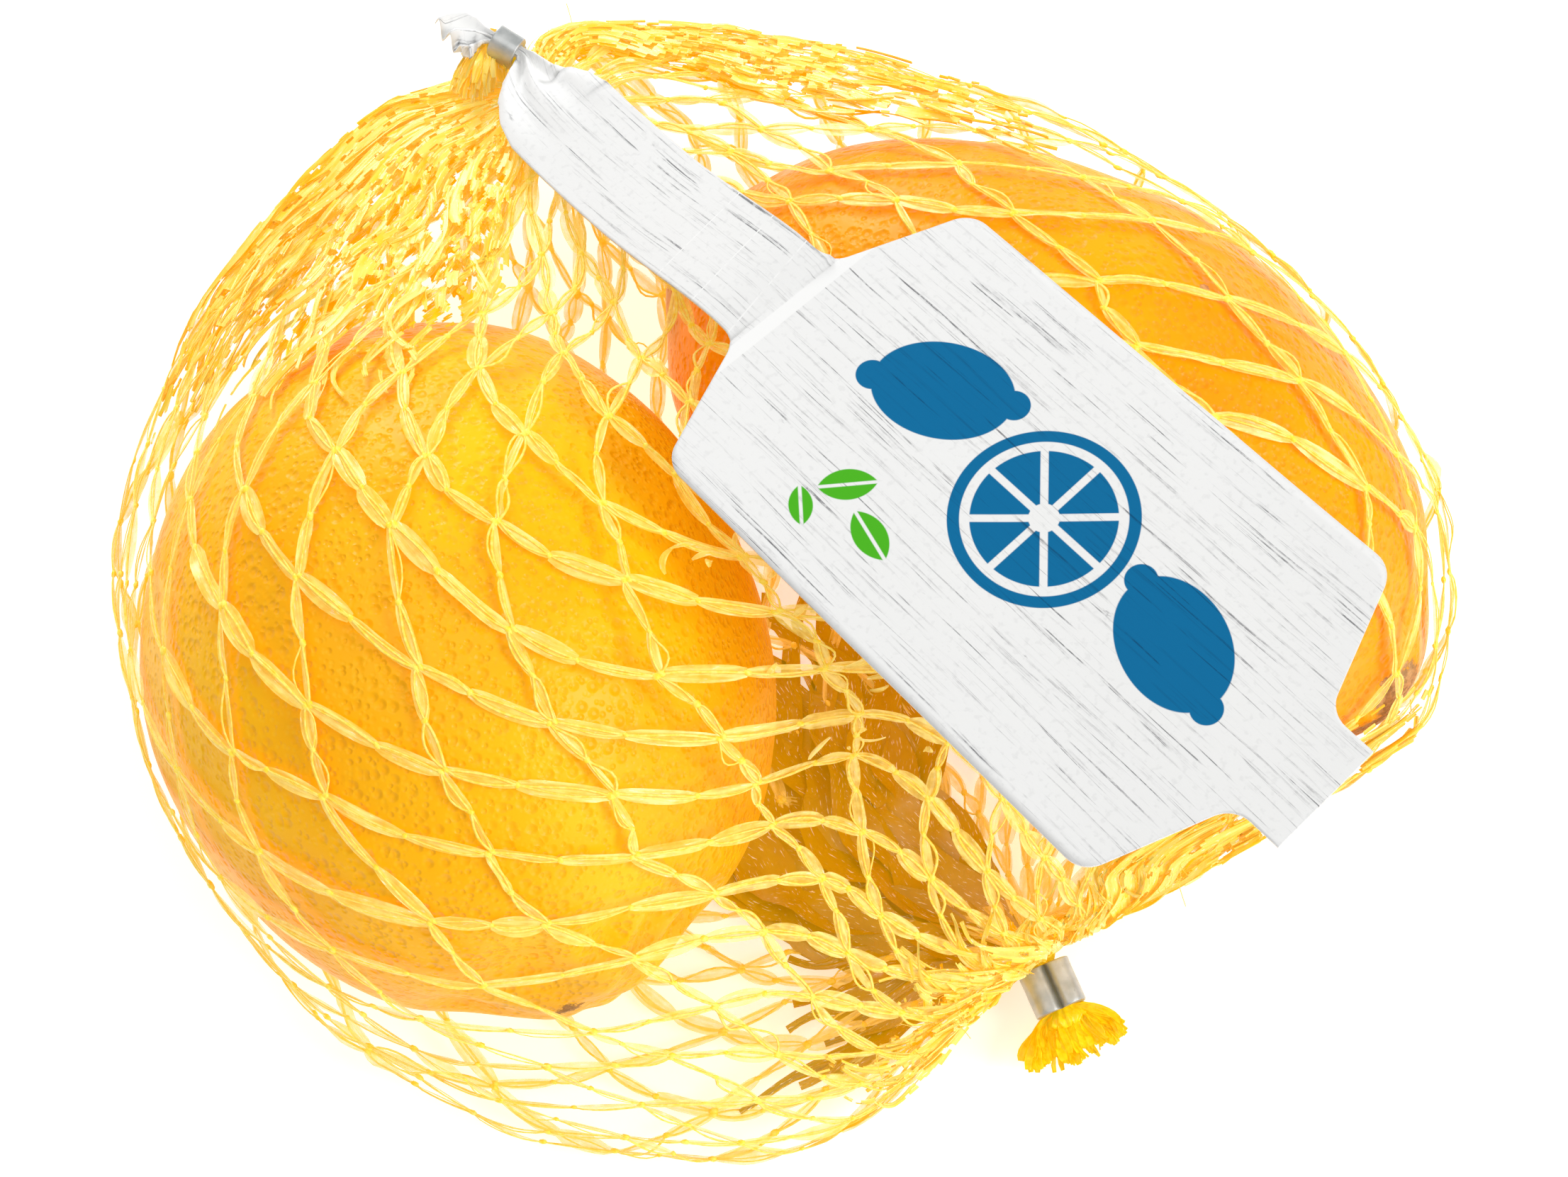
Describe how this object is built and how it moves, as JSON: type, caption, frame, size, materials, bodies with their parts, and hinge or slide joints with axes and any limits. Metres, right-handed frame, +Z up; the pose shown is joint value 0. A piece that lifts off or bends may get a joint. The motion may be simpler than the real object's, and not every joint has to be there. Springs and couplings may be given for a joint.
{
  "type": "net of lemons",
  "caption": "Knitted tube net of whole lemons lying on its side, closed at each end by a crimped metal clip, with a paddle-shaped wood-grain label held in the upper clip",
  "frame": {"origin": "middle of the bounding box's underside, on the surface that the net lies on", "axes": "+Z up, +X from the lemon that lies across the pack towards the one under the label, +Y from the lower clip towards the upper clip"},
  "size_m": [0.1322, 0.1142, 0.0673],
  "materials": {
    "net": "clear yellow knitted film net drawn round the fruit",
    "label": "pale grey wood-grain print on white film-faced card",
    "clip": "bare crimped aluminium wire band"
  },
  "bodies": {
    "root": {"net_bag": "net", "label": "label", "clip_upper": "clip", "clip_lower": "clip"}
  },
  "joints": []
}
